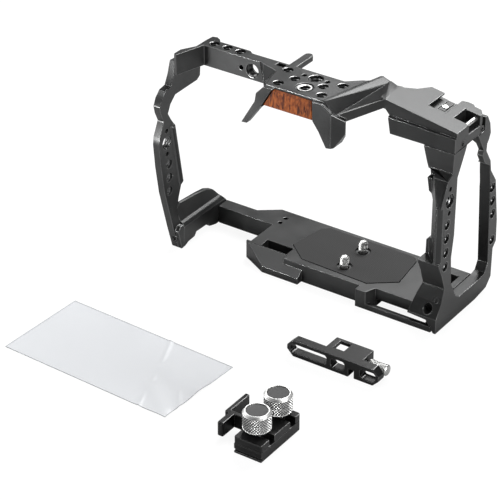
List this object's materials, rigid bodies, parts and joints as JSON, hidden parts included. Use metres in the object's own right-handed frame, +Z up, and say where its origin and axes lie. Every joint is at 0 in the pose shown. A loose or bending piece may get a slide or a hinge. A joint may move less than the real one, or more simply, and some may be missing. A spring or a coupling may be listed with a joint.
{
  "type": "camera cage",
  "caption": "Full metal cage that bolts round a cinema camera, with threads, a cold shoe and a strap bar, shown with two cable clamps and a clear screen film.",
  "frame": {"origin": "on the floor, in the underside of the bottom plate, near its middle", "axes": "+X to the cage's right as seen from the front, +Y to the back, +Z up"},
  "size_m": [0.2235, 0.2585, 0.1507],
  "materials": {
    "cage": "matte black anodised, fine grained",
    "pad": "fine weave",
    "wood": "oiled, with grain",
    "steel": "bright",
    "screw": "black oxide",
    "clamp": "matte black anodised",
    "cap": "fine grained",
    "film": "clear with a pale backing sheet"
  },
  "bodies": {
    "cage": {"base_plate": "cage", "base_pad": "pad", "grip_foot": "cage", "left_arm": "cage", "top_plate": "cage", "side_frame": "cage", "wood_insert": "wood", "thread_insert": "steel", "strap_bar": "steel", "foot_screws": "screw", "left_arm_screws": "screw", "top_end_screws": "screw", "sill_screws": "screw"},
    "front_camera_screw": {"camera_screw_front": "steel"},
    "rear_camera_screw": {"camera_screw_rear": "steel"},
    "shoe_leaf": {"shoe_spring": "steel"},
    "clamp": {"clamp_block": "clamp", "knob_studs": "steel"},
    "holder": {"plug_holder": "clamp"},
    "washer_front": {"front_washer": "screw"},
    "front_knob": {"knob_front": "steel", "knob_front_cap": "cap"},
    "washer_rear": {"rear_washer": "screw"},
    "rear_knob": {"knob_rear": "steel", "knob_rear_cap": "cap"},
    "bracket": {"bracket_frame": "clamp"},
    "pad": {"thumb_pad": "pad"},
    "thumb": {"thumb_screw": "steel"},
    "film": {"screen_film": "film"}
  },
  "joints": [
    {"name": "front_camera_screw_turn", "type": "hinge", "parent": "cage", "child": "front_camera_screw", "pos_m": [0.017, -0.008, 0], "axis": [0, 0, 1], "continuous": true},
    {"name": "rear_camera_screw_turn", "type": "hinge", "parent": "cage", "child": "rear_camera_screw", "pos_m": [0.017, 0.0156, 0], "axis": [0, 0, 1], "continuous": true},
    {"name": "shoe_leaf_press", "type": "slide", "parent": "cage", "child": "shoe_leaf", "axis": [-0.1644, 0, -0.9864], "range_m": [0, 0.0006], "stiffness_N_per_m": 500},
    {"name": "clamp_lift", "type": "slide", "parent": "cage", "child": "clamp", "axis": [0, 0, 1], "range_m": [0, 0.05]},
    {"name": "holder_slide", "type": "slide", "parent": "clamp", "child": "holder", "axis": [-1, 0, 0], "range_m": [0, 0.004]},
    {"name": "front_washer_press", "type": "slide", "parent": "clamp", "child": "washer_front", "axis": [0, 0, -1], "range_m": [0, 0.0008]},
    {"name": "front_knob_turn", "type": "hinge", "parent": "washer_front", "child": "front_knob", "pos_m": [0.0747, -0.19717, 0.0145], "axis": [0, 0, -1], "range_deg": [0, 360]},
    {"name": "rear_washer_press", "type": "slide", "parent": "clamp", "child": "washer_rear", "axis": [0, 0, -1], "range_m": [0, 0.0008]},
    {"name": "rear_knob_turn", "type": "hinge", "parent": "washer_rear", "child": "rear_knob", "pos_m": [0.0747, -0.17438, 0.0145], "axis": [0, 0, -1], "range_deg": [0, 360]},
    {"name": "bracket_lift", "type": "slide", "parent": "cage", "child": "bracket", "axis": [0, 0, 1], "range_m": [0, 0.05]},
    {"name": "pad_press", "type": "slide", "parent": "bracket", "child": "pad", "axis": [-1, 0, 0], "range_m": [0, 0.0014]},
    {"name": "thumb_turn", "type": "hinge", "parent": "pad", "child": "thumb", "pos_m": [0.09, -0.08887, 0.006], "axis": [-1, 0, 0], "range_deg": [0, 720]},
    {"name": "film_lift", "type": "slide", "parent": "cage", "child": "film", "axis": [0, 0, 1], "range_m": [0, 0.05]}
  ],
  "couplings": [
    {"joint": "front_knob_turn", "follows": "front_washer_press", "rad_per_m": 7853.9},
    {"joint": "rear_knob_turn", "follows": "rear_washer_press", "rad_per_m": 7853.9},
    {"joint": "thumb_turn", "follows": "pad_press", "rad_per_m": 8975.9}
  ]
}
